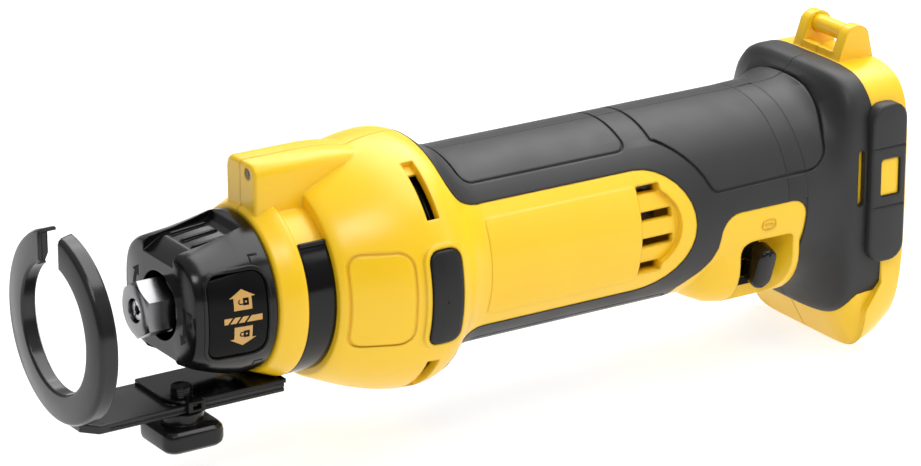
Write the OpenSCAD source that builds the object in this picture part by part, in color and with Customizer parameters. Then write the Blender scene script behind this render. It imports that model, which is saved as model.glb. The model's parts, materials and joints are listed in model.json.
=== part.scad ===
// Cordless drywall cut-out tool, without its battery pack.
// The spindle runs along X and points out of the nose at +X. +Z is up and +Y is the tool's left side.
// The origin is the centre of the collet's mouth. All sizes are in millimetres.

/* [Collet and nut] */
// Diameter of the bit shank that the collet grips
collet_bore_d = 3.2; // [2.4:0.1:4.0]
// Length of the collet
collet_len = 16; // [13:0.5:18]
// Outer diameter of the collet
collet_d = 8; // [7:0.1:8.6]
// Across flats of the hexagon collet nut
nut_af = 17; // [16:0.5:18]
// Length of the nut's hexagon
nut_hex_len = 11; // [9:0.5:12]

/* [Bit change collar] */
// Distance from the collet's mouth back to the front of the collar
collar_setback = 8; // [6:0.5:9]
// Length of the collar along the spindle
collar_len = 28.5; // [27:0.5:32]
// Diameter of the collar where it meets the housing
collar_d = 53; // [51:0.5:54]
// Width of the collar's front end
collar_front_w = 47.5; // [45:0.5:49]
// Height of the collar's front end
collar_front_h = 39.5; // [37:0.5:42]
// Half width of the thumb hollow on the collar
hollow_half = 9.8; // [8:0.2:11]
// Length of a squeeze pad along the spindle
pad_len = 20; // [16:0.5:21]
// Height of a squeeze pad
pad_h = 27; // [22:0.5:28]
// Inward travel of a squeeze pad
pad_travel = 2; // [1:0.1:2.2]

/* [Front housing] */
// Length of the ring in front of the bracket groove
ring_len = 8.5; // [7:0.5:11]
// Diameter of the bracket groove's floor
neck_d = 57; // [56:0.5:58]
// Depth of the bracket groove, which the band fills
groove_depth = 2; // [1.6:0.1:2.4]
// Width of the bracket band, which sits in the groove
band_w = 10; // [8:0.5:12]
// Width of the lamp box on top of the neck
lamp_box_w = 19; // [17:0.5:23]
// Height of the lamp box above the spindle axis
lamp_box_top = 43.4; // [42.6:0.2:46]
// Largest diameter of the motor bulge
bulge_d = 87; // [85:0.5:90]
// Length of the bulge from the groove to its widest place
bulge_rise = 35; // [33:0.5:38]
// Length of the bulge from its widest place down to the barrel
bulge_fall = 23; // [22:0.5:26]

/* [Barrel] */
// Diameter of the barrel
barrel_d = 66.8; // [65.8:0.2:68]
// Length of the barrel from the bulge to the foot
barrel_len = 144; // [138:1:150]
// Wall of the plastic housing
wall = 3; // [2.4:0.1:3.4]
// Thickness of the rubber over the housing
rubber = 1.6; // [1.2:0.1:2]
// Half height of the bare side panel between the rubber grips
panel_half_h = 21.1; // [20:0.1:22.5]
// Length of the hand grip between the side panel and the foot
rear_grip_len = 63; // [61:0.5:66]
// Travel of the slide switch
switch_travel = 6; // [4:0.5:7]

/* [Battery foot] */
// Depth of the foot along the spindle
foot_depth = 26; // [25:0.5:30]
// Width of the foot
foot_w = 69.2; // [68.4:0.2:74]
// Height of the foot above the spindle axis
foot_top = 40.2; // [39:0.2:43]
// Depth of the foot below the spindle axis
foot_bottom = 61; // [58:0.5:66]
// Width of the channel that takes the battery's rails
channel_w = 46; // [44:0.5:48]
// Depth of the channel
channel_depth = 12; // [10.5:0.1:13]

/* [Depth guide] */
// Outer diameter of the guide's foot ring
guide_d = 63.4; // [61:0.2:66]
// Inner diameter of the guide's foot ring
guide_hole_d = 43; // [40:0.5:46]
// Thickness of the foot ring
guide_t = 6.5; // [5:0.5:7.5]
// How far the ring's face stands in front of the collet's mouth
guide_reach = 30; // [28:0.5:32]
// Gap in the top of the ring
guide_gap = 13.7; // [11.5:0.1:15.5]
// Width of the guide's arm and of the bracket's plate
arm_w = 26; // [24:0.5:28]
// Sheet thickness of the guide's arm and of the bracket
sheet = 1.5; // [1.2:0.1:1.8]
// How far the guide slides forward
guide_out = 26; // [20:0.5:28]
// How far the guide slides back
guide_in = 2; // [1:0.5:4]
// Diameter of the clamp screw
screw_d = 7; // [6:0.2:8]
// Width of the clamp knob's square head
knob_w = 22; // [20:0.5:25]

/* [Hidden] */
// Number of facets of the turned forms
$fn = 64;
// Clearance of pieces that slide or turn
run_gap = 0.05;
// Clearance of pieces that sit in a seat
seat_gap = 0.05;
// Clearance between the rubber and the housing
skin_gap = 0.06;
// Gap between the two housing halves
seam = 0.2;
// Clearance around pieces of the collar
pad_gap = 0.4;

// Radii
collar_r = collar_d / 2;
neck_r = neck_d / 2;
ring_r = neck_r + groove_depth;
bulge_r = bulge_d / 2;
barrel_r = barrel_d / 2;
core_r = barrel_r - rubber;
bore_r = core_r - wall;

// Stations along the spindle
x_collar_front = -collar_setback;
x_collar_back = x_collar_front - collar_len;
x_ring = x_collar_back - 0.5;
x_groove = x_ring - ring_len;
x_bulge = x_groove - band_w - 0.4;
x_wide = x_bulge - bulge_rise;
x_barrel = x_wide - bulge_fall;
x_edge = x_barrel + 15.1;
x_foot = x_barrel - barrel_len;
x_back = x_foot - foot_depth;
x_cover = x_foot - 9.5;
x_pod_back = x_foot + 17;
x_flare = x_pod_back;
x_lamp = x_ring - 1.5;
lamp_y = 4.6;
lens_r = 1.9;
lamp_room = lamp_box_w - 6;
lamp_z = lamp_box_top - 3.6;
mid_r = bulge_r - 0.545 * (bulge_r - barrel_r);
mid_x = x_wide - 0.525 * bulge_fall;

// Bare side panel
panel_len = barrel_len - rear_grip_len;
x_panel_end = x_barrel - panel_len;
x_arch = x_panel_end + panel_half_h;
panel_z = 0.8;

// Motor stations
rear_room = 65;
brush_room = 24;
x_bulkhead = x_foot + rear_room;
bulkhead_t = 10;
x_can = x_barrel + 2;
can_len = x_can - x_bulkhead - brush_room;
x_core = x_can - 8;
core_len = can_len - 18;
x_comm = x_can - can_len + 1;
comm_len = 13;

// Spindle and bearings
nose_r = 7;
journal_r = 6;
shaft_r = 5;
tail_r = 4;
carrier_r = neck_r - 5.5;
collar_wall = 9;
sleeve_r = collar_r - collar_wall;
front_bearing_r = carrier_r - 7;
front_bearing_w = 10;
rear_bearing_r = 11;
rear_bearing_w = 7;

// Stations of the depth guide
plate_t = groove_depth - 0.6;
plate_top = -max(neck_r + 0.6, collar_r + 2.6);
plate_bottom = plate_top - plate_t;
arm_top = plate_bottom - run_gap;
arm_h = 2.8;
flange_t = 1.4;
slot_w = screw_d + 0.6;
screw_x = -11;
screw_y = arm_w / 2 - flange_t - 0.2 - slot_w / 2;
x_arm_back = x_groove - 0.5;
knob_h = 7.9;
knob_neck = 3.5;

// Battery foot
foot_half = foot_w / 2;
cover_t = 2.2;
cover_bottom = 49;
x_channel = x_back + channel_depth;
lip = 3.5;
lip_t = 3;
pin_r = 3.1;
pin_x = x_back + 7.6;
pin_z = foot_top + pin_r + 4.4;
ear_t = 4.4;
ear_gap = 17;
x_bumper = x_back + 3.5;
bumper_w = 14.9;
bumper_t = 3;

// Switch pod
pod_half = barrel_r - 2.2;
pod_bottom = barrel_r + 2.3;
slider_len = 16;
slider_w = 8;
slider_h = 7.6;
slider_y = pod_half + 0.1;
slider_z = -22.5;
slider_lean = 19;
ramp_len = 6.6;
pocket_y = 21;
pocket_z = -10.3;
x_pocket = x_pod_back + 3.6;
x_slider = x_pocket + ramp_len + 0.9;
pocket_end = x_slider + slider_w + switch_travel + 0.8;
stem_w = 4.4;
stem_h = 5.8;
stem_y = 11;
stem_z = slider_z - 1.5;
x_stem = x_slider + slider_w / 2 - stem_w / 2;

// Electric switch
switch_len = 20;
switch_w = 19;
switch_h = 14;
switch_y = -9;
switch_top = -10;
x_switch = x_pocket - 0.6;

// Which sub-part is drawn

yellow = [0.96, 0.73, 0.05];
dark = [0.16, 0.16, 0.17];
black = [0.07, 0.07, 0.08];
steel = [0.62, 0.63, 0.65];
copper = [0.72, 0.42, 0.2];
brass = [0.8, 0.66, 0.3];

// A point on a cubic curve through the first and last of four points
function curve(p, t) = pow(1 - t, 3) * p[0] + 3 * t * pow(1 - t, 2) * p[1]
  + 3 * t * t * (1 - t) * p[2] + pow(t, 3) * p[3];
function curve_points(p, n, t0 = 0) = [for (i = [0 : n]) curve(p, t0 + (1 - t0) * i / n)];

// Points of an elliptical arc in a plane
function arc(cx, cy, rx, ry, a0, a1, n) =
  [for (i = [0 : n]) [cx + rx * cos(a0 + (a1 - a0) * i / n), cy + ry * sin(a0 + (a1 - a0) * i / n)]];

// A rounded rectangle between two corners
function round_box(x0, y0, x1, y1, r, n = 5) = concat(
  arc(x1 - r, y1 - r, r, r, 0, 90, n),
  arc(x0 + r, y1 - r, r, r, 90, 180, n),
  arc(x0 + r, y0 + r, r, r, 180, 270, n),
  arc(x1 - r, y0 + r, r, r, 270, 360, n));

// A closed outline with its own top and bottom, rounder or squarer by the power of each
function squircle(half, top, bottom, power, n, low = 0) =
  [for (i = [0 : n - 1])
    let (a = 360 * (i + 0.5) / n, c = cos(a), s = sin(a), k = 2 / (s < 0 && low > 0 ? low : power))
    [half * sign(c) * pow(abs(c), k), (s > 0 ? top : bottom) * sign(s) * pow(abs(s), k)]];

// An outline set in the cross plane at a station
function at_x(x, outline) = [for (p = outline) [x, p[0], p[1]]];
function at_z(z, outline) = [for (p = outline) [p[0], p[1], z]];

// A solid skin over a row of outlines that all have the same number of points
module loft(rings) {
  n = len(rings[0]);
  m = len(rings);
  points = [for (r = rings) for (p = r) p];
  sides = [for (j = [0 : m - 2]) for (i = [0 : n - 1]) for (k = [0, 1])
    let (a = j * n + i, b = j * n + (i + 1) % n, c = b + n, d = a + n)
    k == 0 ? [a, b, c] : [a, c, d]];
  ends = [[for (i = [0 : n - 1]) n - 1 - i], [for (i = [0 : n - 1]) (m - 1) * n + i]];
  faces = [for (f = concat(sides, ends)) [for (i = [0 : len(f) - 1]) f[len(f) - 1 - i]]];
  polyhedron(points = points, faces = faces);
}

// A block with rounded upright corners and rounded edges above and below
module soft_block(x0, y0, z0, x1, y1, z1, r, edge) {
  steps = [0, 30, 60, 90];
  low = [for (a = steps) [edge * (1 - sin(a)), z0 + edge * (1 - cos(a))]];
  high = [for (a = steps) [edge * (1 - cos(a)), z1 - edge + edge * sin(a)]];
  loft([for (s = concat(low, high)) at_z(s[1],
    round_box(x0 + s[0], y0 + s[0], x1 - s[0], y1 - s[0], r - s[0] * 0.7))]);
}

// A form turned about the spindle axis from points of radius and station
module turned(points) {
  rotate([0, 90, 0]) rotate_extrude() polygon(points);
}

// A sector of a ring about the spindle axis, from one angle above +Y to another
module sector(r0, r1, x0, x1, a0, a1) {
  rotate([a0, 0, 0]) rotate([0, 90, 0]) rotate([0, 0, 90])
    rotate_extrude(angle = a1 - a0) translate([r0, x0]) square([r1 - r0, x1 - x0]);
}

// A round bar along the spindle
module bar_x(x0, x1, r, y = 0, z = 0) {
  translate([x0, y, z]) rotate([0, 90, 0]) cylinder(h = x1 - x0, r = r);
}

// A round bar from side to side
module bar_y(x, z, y0, y1, r) {
  translate([x, y1, z]) rotate([90, 0, 0]) cylinder(h = y1 - y0, r = r);
}

// A plain block between two corners
module block(x0, y0, z0, x1, y1, z1) {
  translate([x0, y0, z0]) cube([x1 - x0, y1 - y0, z1 - z0]);
}

// A side outline pushed through from one side to the other
module through_side(y0, y1, outline) {
  translate([0, y1, 0]) rotate([90, 0, 0]) linear_extrude(y1 - y0) polygon(outline);
}

// Curves of the bulge, moved inward by a depth: its rise, its shoulder and its fall to the barrel
function rise_curve(d) = [[neck_r + 4.8 - d, x_bulge - 0.9 - d], [neck_r + 8.5 - d, x_bulge - 9.1],
  [bulge_r - d, x_bulge - 0.63 * bulge_rise], [bulge_r - d, x_wide]];
function shoulder_curve(d) = [[bulge_r - d, x_wide], [bulge_r - d, x_wide - 0.26 * bulge_fall],
  [mid_r + 3.2 - d, mid_x + 3.2], [mid_r - d, mid_x]];
function fall_curve(d) = [[mid_r - d, mid_x], [mid_r - 2.4 - d, mid_x - 2.4],
  [barrel_r + 0.5 - d, x_barrel + 5], [barrel_r - d, x_barrel]];

// Outline of the turned housing form, moved inward by a depth over bulge and barrel
function body_outline(d) = concat(
  [[0, x_ring], [ring_r - 3.6, x_ring], [ring_r - 2.8, x_ring - 0.6], [ring_r, x_groove + 1.2],
    [ring_r, x_groove], [neck_r, x_groove], [neck_r, x_bulge - d], [neck_r + 3.9 - d, x_bulge - d]],
  curve_points(rise_curve(d), 8),
  [for (i = [1 : 5]) curve(shoulder_curve(d), i / 5)],
  [for (i = [1 : 5]) curve(fall_curve(d), i / 5)],
  [[barrel_r - d, x_foot - 3], [0, x_foot - 3]]);

// Room inside the housing from the bearing carrier to the bulkhead
function front_room() = concat(
  [[0, x_ring + 1], [carrier_r + seat_gap, x_ring + 1], [carrier_r + seat_gap, x_bulge - 4]],
  [for (i = [2 : 8]) curve(rise_curve(wall), i / 8)],
  [for (i = [1 : 8]) curve([[bulge_r - wall, x_wide], [bulge_r - wall, x_wide - 5],
    [bore_r + 3, mid_x - 1], [bore_r, x_barrel + 4]], i / 8)],
  [[bore_r, x_bulkhead], [0, x_bulkhead]]);

// How far the joint between the rubber cover and the rear frame lies back at a height
function cover_step(z) = max(0, min(0.085 * (36 - z), 0.77 * (z + 44)));
function at_cover(x, outline) = [for (p = outline) [x - cover_step(p[1]), p[0], p[1]]];

// Yellow core, rear frame and chin of the foot, grown by a gap under the rubber cover or all over
module foot_core(gap, grow = 0) {
  n = 64;
  w = foot_half + grow;
  t = foot_top + grow;
  b = foot_bottom + grow;
  wc = w - cover_t + gap;
  tc = t - cover_t + gap;
  loft([
    at_x(x_back, squircle(w - 1.6, t - 1.2, b - 4.5, 4.6, n, 3.6)),
    at_x(x_back + 1.2, squircle(w - 0.4, t, b - 3, 4.6, n, 3.8)),
    at_x(x_back + 8, squircle(w, t, b - 1, 4.6, n, 5)),
    at_cover(x_cover + gap, squircle(w, t, b, 4.6, n, 7)),
    at_cover(x_cover + gap + 0.02, squircle(wc, tc, b, 4.6, n, 7)),
    at_x(x_foot - cover_t + gap, squircle(wc, tc, cover_bottom - 1 + gap, 4.6, n))]);
}

// Outer form of the rubber over the front of the foot, from the barrel to the rear frame
module foot_cover_form() {
  n = 64;
  r = barrel_r + 0.2;
  w = foot_half + 0.2;
  t = foot_top + 0.2;
  b = cover_bottom;
  loft([
    at_cover(x_cover + 0.04, squircle(w, t, b + 1, 4.6, n)),
    at_x(x_foot - 4.6, squircle(w, t, b + 0.2, 4.6, n)),
    at_x(x_foot - 2.2, squircle(w, t - 0.2, b - 0.2, 4.4, n)),
    at_x(x_foot - 0.4, squircle(w - 0.2, t - 1, b - 1, 4, n)),
    at_x(x_foot + 0.6, squircle(r + 0.9, t - 2.2, b - 3, 3.4, n)),
    at_x(x_foot + 1.9, squircle(r + 0.7, r + 3.6, r + 10, 2.8, n)),
    at_x(x_foot + 3.9, squircle(r + 0.5, r + 2, r + 7, 2.35, n)),
    at_x(x_foot + 6.9, squircle(r + 0.4, r + 0.9, r + 4.4, 2.15, n)),
    at_x(x_foot + 10.9, squircle(r + 0.3, r + 0.4, r + 2.6, 2.05, n)),
    at_x(x_flare, squircle(r + 0.25, r + 0.25, r + 1.5, 2, n))]);
}

// Cross outline of the switch pod under the barrel
function pod_ring(half, bottom) = concat(
  arc(half - 17, 17 - bottom, 17, 17, 270, 360, 8),
  [[half, 6], [-half, 6]],
  arc(17 - half, 17 - bottom, 17, 17, 180, 270, 8));

module pod_form() {
  h = pod_half;
  b = pod_bottom;
  loft([
    at_x(x_pod_back, pod_ring(h - 1.6, b - 1.6)),
    at_x(x_pod_back + 0.8, pod_ring(h - 0.5, b - 0.5)),
    at_x(x_pod_back + 2.4, pod_ring(h, b)),
    at_x(x_pod_back + 26, pod_ring(h, b)),
    at_x(x_pod_back + 32, pod_ring(h - 0.6, b - 1)),
    at_x(x_pod_back + 37, pod_ring(h - 2.2, b - 3.2)),
    at_x(x_pod_back + 41.5, pod_ring(h - 4.8, b - 6.4)),
    at_x(x_pod_back + 46, pod_ring(h - 8, b - 11))]);
}

// Front corner of the side panel as stations and heights above its edge, from the rubber's front edge back
panel_corner = curve_points([[x_edge, 12], [x_edge - 0.4, 6], [x_barrel + 9, 0.8], [x_barrel + 2, 0]], 7);

// Side outline of the yellow side panel, grown by a gap
function panel_outline(g) = let (h = panel_half_h + g) concat(
  [[x_edge + 5, panel_z - h - 12], [x_edge + 5, panel_z + h + 12]],
  [for (p = panel_corner) [p[0] - g, panel_z + h + p[1]]],
  arc(x_arch, panel_z, h, h, 90, 270, 16),
  [for (i = [7 : -1 : 0]) [panel_corner[i][0] - g, panel_z - h - panel_corner[i][1]]]);

// Side outline of the pod's yellow skin, grown by a gap
function pod_outline(g) = let (x = x_pod_back) concat(
  [[x - g, -60]],
  arc(x + 6, -4, 6 + g, 6 + g, 180, 90, 4),
  arc(x + 28, -5.5, 7.5 + g, 7.5 + g, 90, 10, 5),
  [[x + 36 + g, -9.8], [x + 37.6 + g, -14.2], [x + 40.4 + g, -18.1 + g], [x + 43.6 + g, -21 + g],
    [x + 46.8 + g, -24.6 + g], [x + 48 + g, -60]]);

// Everything that the rubber leaves bare: side panels, pod, and all that lies in front of its front edge
module bare_zones(g) {
  through_side(-60, 60, panel_outline(g));
  through_side(-60, 60, pod_outline(g));
  block(x_edge - g, -60, -60, x_edge + 40, 60, 60);
}

// Rubber layer of barrel and foot, grown inward by a gap where it meets the housing
module rubber_form(gap) {
  difference() {
    union() {
      turned(concat(
        curve_points(shoulder_curve(rubber + gap), 3, 0.4),
        [for (i = [1 : 5]) curve(fall_curve(rubber + gap), i / 5)],
        [[core_r - gap, x_flare - 0.1], [barrel_r + 0.2, x_flare - 0.1]],
        [for (i = [5 : -1 : 1]) curve(fall_curve(-0.2), i / 5)],
        [for (i = [3 : -1 : 0]) curve(shoulder_curve(-0.2), 0.4 + 0.2 * i)]));
      difference() {
        foot_cover_form();
        bar_x(x_foot - 4, x_flare + 1, core_r - gap + 0.03);
      }
    }
    foot_core(skin_gap - gap);
    bare_zones(-gap);
  }
}

// Side outline of the wear pad on the bulge, grown by a gap
function wear_outline(g) = round_box(x_wide - 4.2 - g, -16.4 - g, x_wide + 7 + g, 15.2 + g, 3.5 + g);

// Raised frame around the wear pads and the thin bare plates on the side panels
module raised_fields() {
  intersection() {
    through_side(-60, 60, wear_outline(2));
    turned([[0, x_wide - 6.3], [bulge_r - 0.5, x_wide - 6.3], [bulge_r + 0.35, x_wide - 4.9],
      [bulge_r + 0.35, x_wide + 7.5], [bulge_r - 0.2, x_wide + 9.1], [0, x_wide + 9.1]]);
  }
  intersection() {
    through_side(-60, 60, round_box(x_arch + 1.6, panel_z - 16, x_barrel + 1, panel_z + 16.7, 1.5));
    bar_x(x_arch + 1, x_barrel + 3, barrel_r + 0.3);
  }
}

// Louvre slots of the side panel as height and length
louvres = [[15.5, 8], [6.6, 12.4], [-2.4, 12.6], [-11.3, 8]];

// Vents and openings of the housing on one side, which is +1 or -1
module side_openings(s) {
  a = s > 0 ? 0 : 180;
  y = s > 0 ? [15, 60] : [-60, -15];
  for (k = [s, -s]) {
    sector(bulge_r - wall - 2, bulge_r + 2, x_wide - 0.1, x_wide + 4.4, a + k * 34, a + k * 58);
    sector(bulge_r - 2.2, bulge_r + 2, x_wide - 0.1, x_wide + 4.4, a + k * 57, a + k * 63.5);
  }
  difference() {
    through_side(y[0], y[1], wear_outline(0.5));
    bar_x(x_wide - 7, x_wide + 10, bulge_r - 1.6);
  }
  difference() {
    through_side(y[0], y[1], concat(arc(x_arch, panel_z + 1.3, 15, 15, 90, 270, 12),
      [[x_arch + 1.3, panel_z - 13.7], [x_arch + 1.3, panel_z + 16.3]]));
    bar_x(x_arch - 20, x_arch + 4, barrel_r - 2.2);
  }
  for (p = louvres)
    through_side(y[0], y[1], round_box(x_arch - p[1], p[0] - 1.7, x_arch + 1.3, p[0] + 1.7, 0.5, 3));
}

// Shallow line around the panel on each side of the bulge
module bulge_lines() {
  difference() {
    for (y = [[20, 60], [-60, -20]])
      difference() {
        through_side(y[0], y[1], round_box(x_bulge - 23.4, -15.4, x_bulge - 2.5, 16.3, 5));
        through_side(y[0] - 1, y[1] + 1, round_box(x_bulge - 22.6, -14.6, x_bulge - 3.3, 15.5, 4.3));
      }
    turned(body_outline(0.5));
  }
}

// Screw places as station and height
screw_places = [[x_bulge - 12, lamp_box_top - 4.6], [x_bulkhead - 5, 20], [x_bulkhead - 5, -20],
  [x_foot - 5, 30], [x_foot - 5, -30]];
screw_heads = [7.2, 22, 22, 28, 28];

// Holes for the case screws, with room for their heads from the right side
module screw_holes() {
  for (i = [0 : 4]) {
    bar_y(screw_places[i][0], screw_places[i][1], -screw_heads[i] - 0.1, 6.2, 1.6 + seat_gap);
    bar_y(screw_places[i][0], screw_places[i][1], -60, -screw_heads[i] + 3, 3.2 + seat_gap);
  }
}

// Battery channel with its two rail lips, open to the back and to the bottom
module battery_channel() {
  h = channel_w / 2;
  block(x_back - 1, -h + lip, -foot_bottom - 1, x_channel, h - lip, 32);
  block(x_back + lip_t, -h, -foot_bottom - 1, x_channel, h, 32);
}

// Ears of the hang loop above the foot and the low wall between them
module hang_ears() {
  for (y = [-ear_gap / 2 - ear_t, ear_gap / 2])
    through_side(y, y + ear_t, concat(
      [[pin_x + 9, foot_top - 5], [pin_x + 7.8, foot_top]],
      arc(pin_x, pin_z - 0.4, 5.2, 4.6, 25, 155, 6),
      [[pin_x - 6.9, foot_top], [pin_x - 7, foot_top - 5]]));
  block(pin_x + 4.8, -ear_gap / 2 - 1, foot_top - 3, pin_x + 7.3, ear_gap / 2 + 1, foot_top + 2.4);
}

// Pocket of the slide switch, scooped at its back end and open below
module switch_pocket() {
  x0 = x_pocket;
  x1 = pocket_end;
  intersection() {
    translate([0, 0, -60]) linear_extrude(60 + pocket_z)
      polygon([[x0 - 0.3, 60], [x0 + 0.4, pod_half - 0.4], [x0 + ramp_len * 0.6, pocket_y + 3.4],
        [x0 + ramp_len, pocket_y + 0.4], [x0 + ramp_len + 0.5, pocket_y], [x1, pocket_y], [x1, 60]]);
    through_side(pocket_y - 1, 60, concat(
      [[x0, -60]], arc(x0 + 3, pocket_z - 3, 3, 3, 180, 90, 3),
      arc(x1 - 5, pocket_z - 5, 5, 5, 90, 0, 5), [[x1, -60]]));
  }
}

// Room behind the bulkhead, less the walls of the switch pocket and the bed of the switch
module rear_bore() {
  difference() {
    bar_x(x_foot + 6, x_bulkhead - bulkhead_t, bore_r);
    block(x_pocket - 2, pocket_y - 4, -60, pocket_end + 3, 60, pocket_z + 3);
    block(x_switch, switch_y, -60, x_switch + switch_len, 4, switch_top - switch_h - seat_gap);
  }
}

// Box of the work lamp on top of the neck
module lamp_box() {
  w = lamp_box_w / 2;
  t = lamp_box_top;
  loft([
    at_x(x_bulge - 22, round_box(-w + 1, 24, w - 1, bulge_r - 2, 3)),
    at_x(x_bulge - 15, round_box(-w, 24, w, t - 0.6, 4)),
    at_x(x_bulge - 8, round_box(-w, 24, w, t, 4)),
    at_x(x_lamp - 1.3, round_box(-w, 24, w, t, 4)),
    at_x(x_lamp - 0.5, round_box(-w + 0.4, 24, w - 0.4, t - 0.4, 3.6)),
    at_x(x_lamp, round_box(-w + 1.2, 24, w - 1.2, t - 1.2, 3))]);
}

// The whole housing before it is split along the middle
module housing_form() {
  difference() {
    union() {
      turned(body_outline(0));
      lamp_box();
      raised_fields();
      pod_form();
      foot_core(0);
      hang_ears();
      for (y = [[-foot_half - 2.2, -foot_half + 4], [foot_half - 4, foot_half + 2.2]])
        block(x_bumper + 3.1, y[0], -2, x_bumper + 10.8, y[1], 11.1);
    }
    rubber_form(skin_gap);
    turned(front_room());
    bar_x(x_bulkhead - bulkhead_t - 1, x_bulkhead + 1, rear_bearing_r + seat_gap);
    rear_bore();
    bar_x(x_bulkhead - bulkhead_t - 1, x_bulkhead + 1, 5, 0, 21);
    side_openings(1);
    side_openings(-1);
    bulge_lines();
    block(x_bulge - 6, -lamp_room / 2, neck_r + 6, x_lamp - 3, lamp_room / 2, lamp_box_top - 2.5);
    bar_x(x_lamp - 4, x_lamp + 1, lens_r + seat_gap, lamp_y, lamp_z);
    block(x_groove - 0.5, -arm_w / 2 - 0.3, plate_bottom - 5, x_ring + 1, arm_w / 2 + 0.3, plate_top + 0.1);
    battery_channel();
    block(x_channel - 1, -15 - seat_gap, 6, x_foot + 7, 15 + seat_gap, 24);
    bar_y(pin_x, pin_z, -ear_gap / 2 - 2.5, ear_gap / 2 + 2.5, pin_r + seat_gap);
    screw_holes();
    switch_pocket();
    block(x_stem - 0.4, stem_y - 0.6, stem_z - stem_h / 2 - 0.2, x_stem + stem_w + switch_travel + 0.4,
      pocket_y + 1, stem_z + stem_h / 2 + 0.2);
  }
}

module half_space(s) {
  y0 = s > 0 ? seam / 2 : -70;
  y1 = s > 0 ? 70 : -seam / 2;
  block(x_back - 20, y0, -90, x_ring + 20, y1, 90);
}

module housing_left() {
  color(yellow) intersection() {
    housing_form();
    half_space(1);
  }
}

module housing_right() {
  color(yellow) intersection() {
    housing_form();
    half_space(-1);
  }
}

// A line along an outline pressed into the rubber on top or underneath
module pad_line(z, x0, x1, half) {
  translate([0, 0, z]) difference() {
    linear_extrude(40) polygon(round_box(x0, -half, x1, half, 4));
    translate([0, 0, -1]) linear_extrude(42)
      polygon(round_box(x0 + 0.8, 0.8 - half, x1 - 0.8, half - 0.8, 3.2));
  }
}

// Lines around the thumb pad on top, the finger pad underneath and the rear hand pad
module grip_lines() {
  r = barrel_r - 0.4;
  difference() {
    union() {
      pad_line(10, x_arch - 1.7, x_barrel + 4.4, 20.1);
      pad_line(-50, x_arch - 18.7, x_barrel + 1.5, 21);
      difference() {
        through_side(-60, 60, rear_pad(0));
        through_side(-61, 61, rear_pad(0.9));
      }
    }
    turned([[0, x_barrel + 10], [r, x_barrel + 10], [r, x_foot + 14], [r + 0.3, x_foot + 9],
      [r + 1.2, x_foot + 5], [r + 2.6, x_foot + 2], [r + 2.6, x_foot - 20], [0, x_foot - 20]]);
  }
}

// Side outline of the rear hand pad, moved inward by a depth
function rear_pad(d) = let (r = panel_half_h + 8.6 + d) concat(
  [[x_arch - 11.5 - d, 60], [x_arch - 11.5 - d, panel_z + 27.4]],
  arc(x_arch, panel_z, r, r, 116, 157, 7),
  arc(x_arch - 31, panel_z + 13.2, 4 - d, 4 - d, -23, -90, 4),
  arc(x_foot + 16, 19.6, 9 - d, 9 - d, 270, 180, 6),
  [[x_foot + 3 + d, 34], [x_foot + 2.6 + d, 60]]);

module grip(s) {
  color(dark) difference() {
    intersection() {
      rubber_form(0);
      half_space(s);
    }
    grip_lines();
    y = s > 0 ? [foot_half - 5, 60] : [-60, -foot_half + 5];
    through_side(y[0], y[1], round_box(x_foot - 6.6, -5.3, x_foot - 3.7, 15.1, 1.4, 3));
    if (s < 0) screw_holes();
  }
}

module grip_left() {
  grip(1);
}

module grip_right() {
  grip(-1);
}

// Rubber wear pad on the side of the bulge
module bulge_pad(s) {
  y = s > 0 ? [15, 60] : [-60, -15];
  r = bulge_r - 1.6 + seat_gap;
  color(dark) intersection() {
    through_side(y[0], y[1], wear_outline(0));
    turned([[r, x_wide - 8], [bulge_r + 0.3, x_wide - 8], [bulge_r + 0.9, x_wide - 3],
      [bulge_r + 1, x_wide + 2], [bulge_r + 0.5, x_wide + 10], [r, x_wide + 10]]);
  }
}

module bulge_pad_left() {
  bulge_pad(1);
}

module bulge_pad_right() {
  bulge_pad(-1);
}

// Rubber bumper on the side of the foot, with a window for the yellow rest
module foot_bumper(s) {
  x0 = x_bumper;
  color(dark) difference() {
    mirror([0, s > 0 ? 0 : 1, 0]) translate([0, foot_half, 0]) rotate([-90, 0, 0])
      soft_block(x0, -30.8, -3, x0 + bumper_w, 26.3, bumper_t, 6, 1.2);
    foot_cover_form();
    foot_core(0, seat_gap);
    y = s > 0 ? [foot_half - 4, 60] : [-60, -foot_half + 4];
    through_side(y[0], y[1], round_box(x0 + 2.8, -2.3, x0 + 11.1, 11.4, 1.4, 3));
    for (z = [15.3, -6])
      translate([x0, s * (foot_half + bumper_t + 0.4), z]) rotate([45, 0, 0])
        cube([60, 1.4, 1.4], center = true);
  }
}

module foot_bumper_left() {
  foot_bumper(1);
}

module foot_bumper_right() {
  foot_bumper(-1);
}

// Clear lens of the work lamp
module lamp_lens() {
  color([0.9, 0.92, 0.95]) bar_x(x_lamp - 3.6, x_lamp - 0.2, lens_r, lamp_y, lamp_z);
}

// Circuit board that carries the lamp
module lamp_board() {
  color([0.1, 0.35, 0.18]) block(x_lamp - 5.6, -lamp_room / 2 + seat_gap, neck_r + 6 + seat_gap,
    x_lamp - 4, lamp_room / 2 - seat_gap, lamp_box_top - 2.5 - seat_gap);
}

// Bar of the hang loop
module hang_pin() {
  color(yellow) bar_y(pin_x, pin_z, -ear_gap / 2 - 2.4, ear_gap / 2 + 2.4, pin_r);
}

// Screws that hold the halves together, put in from the right
module case_screws() {
  color(steel) for (i = [0 : 4]) {
    bar_y(screw_places[i][0], screw_places[i][1], -screw_heads[i], 6, 1.6);
    bar_y(screw_places[i][0], screw_places[i][1], -screw_heads[i], -screw_heads[i] + 2.9, 3.2);
  }
}

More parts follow.
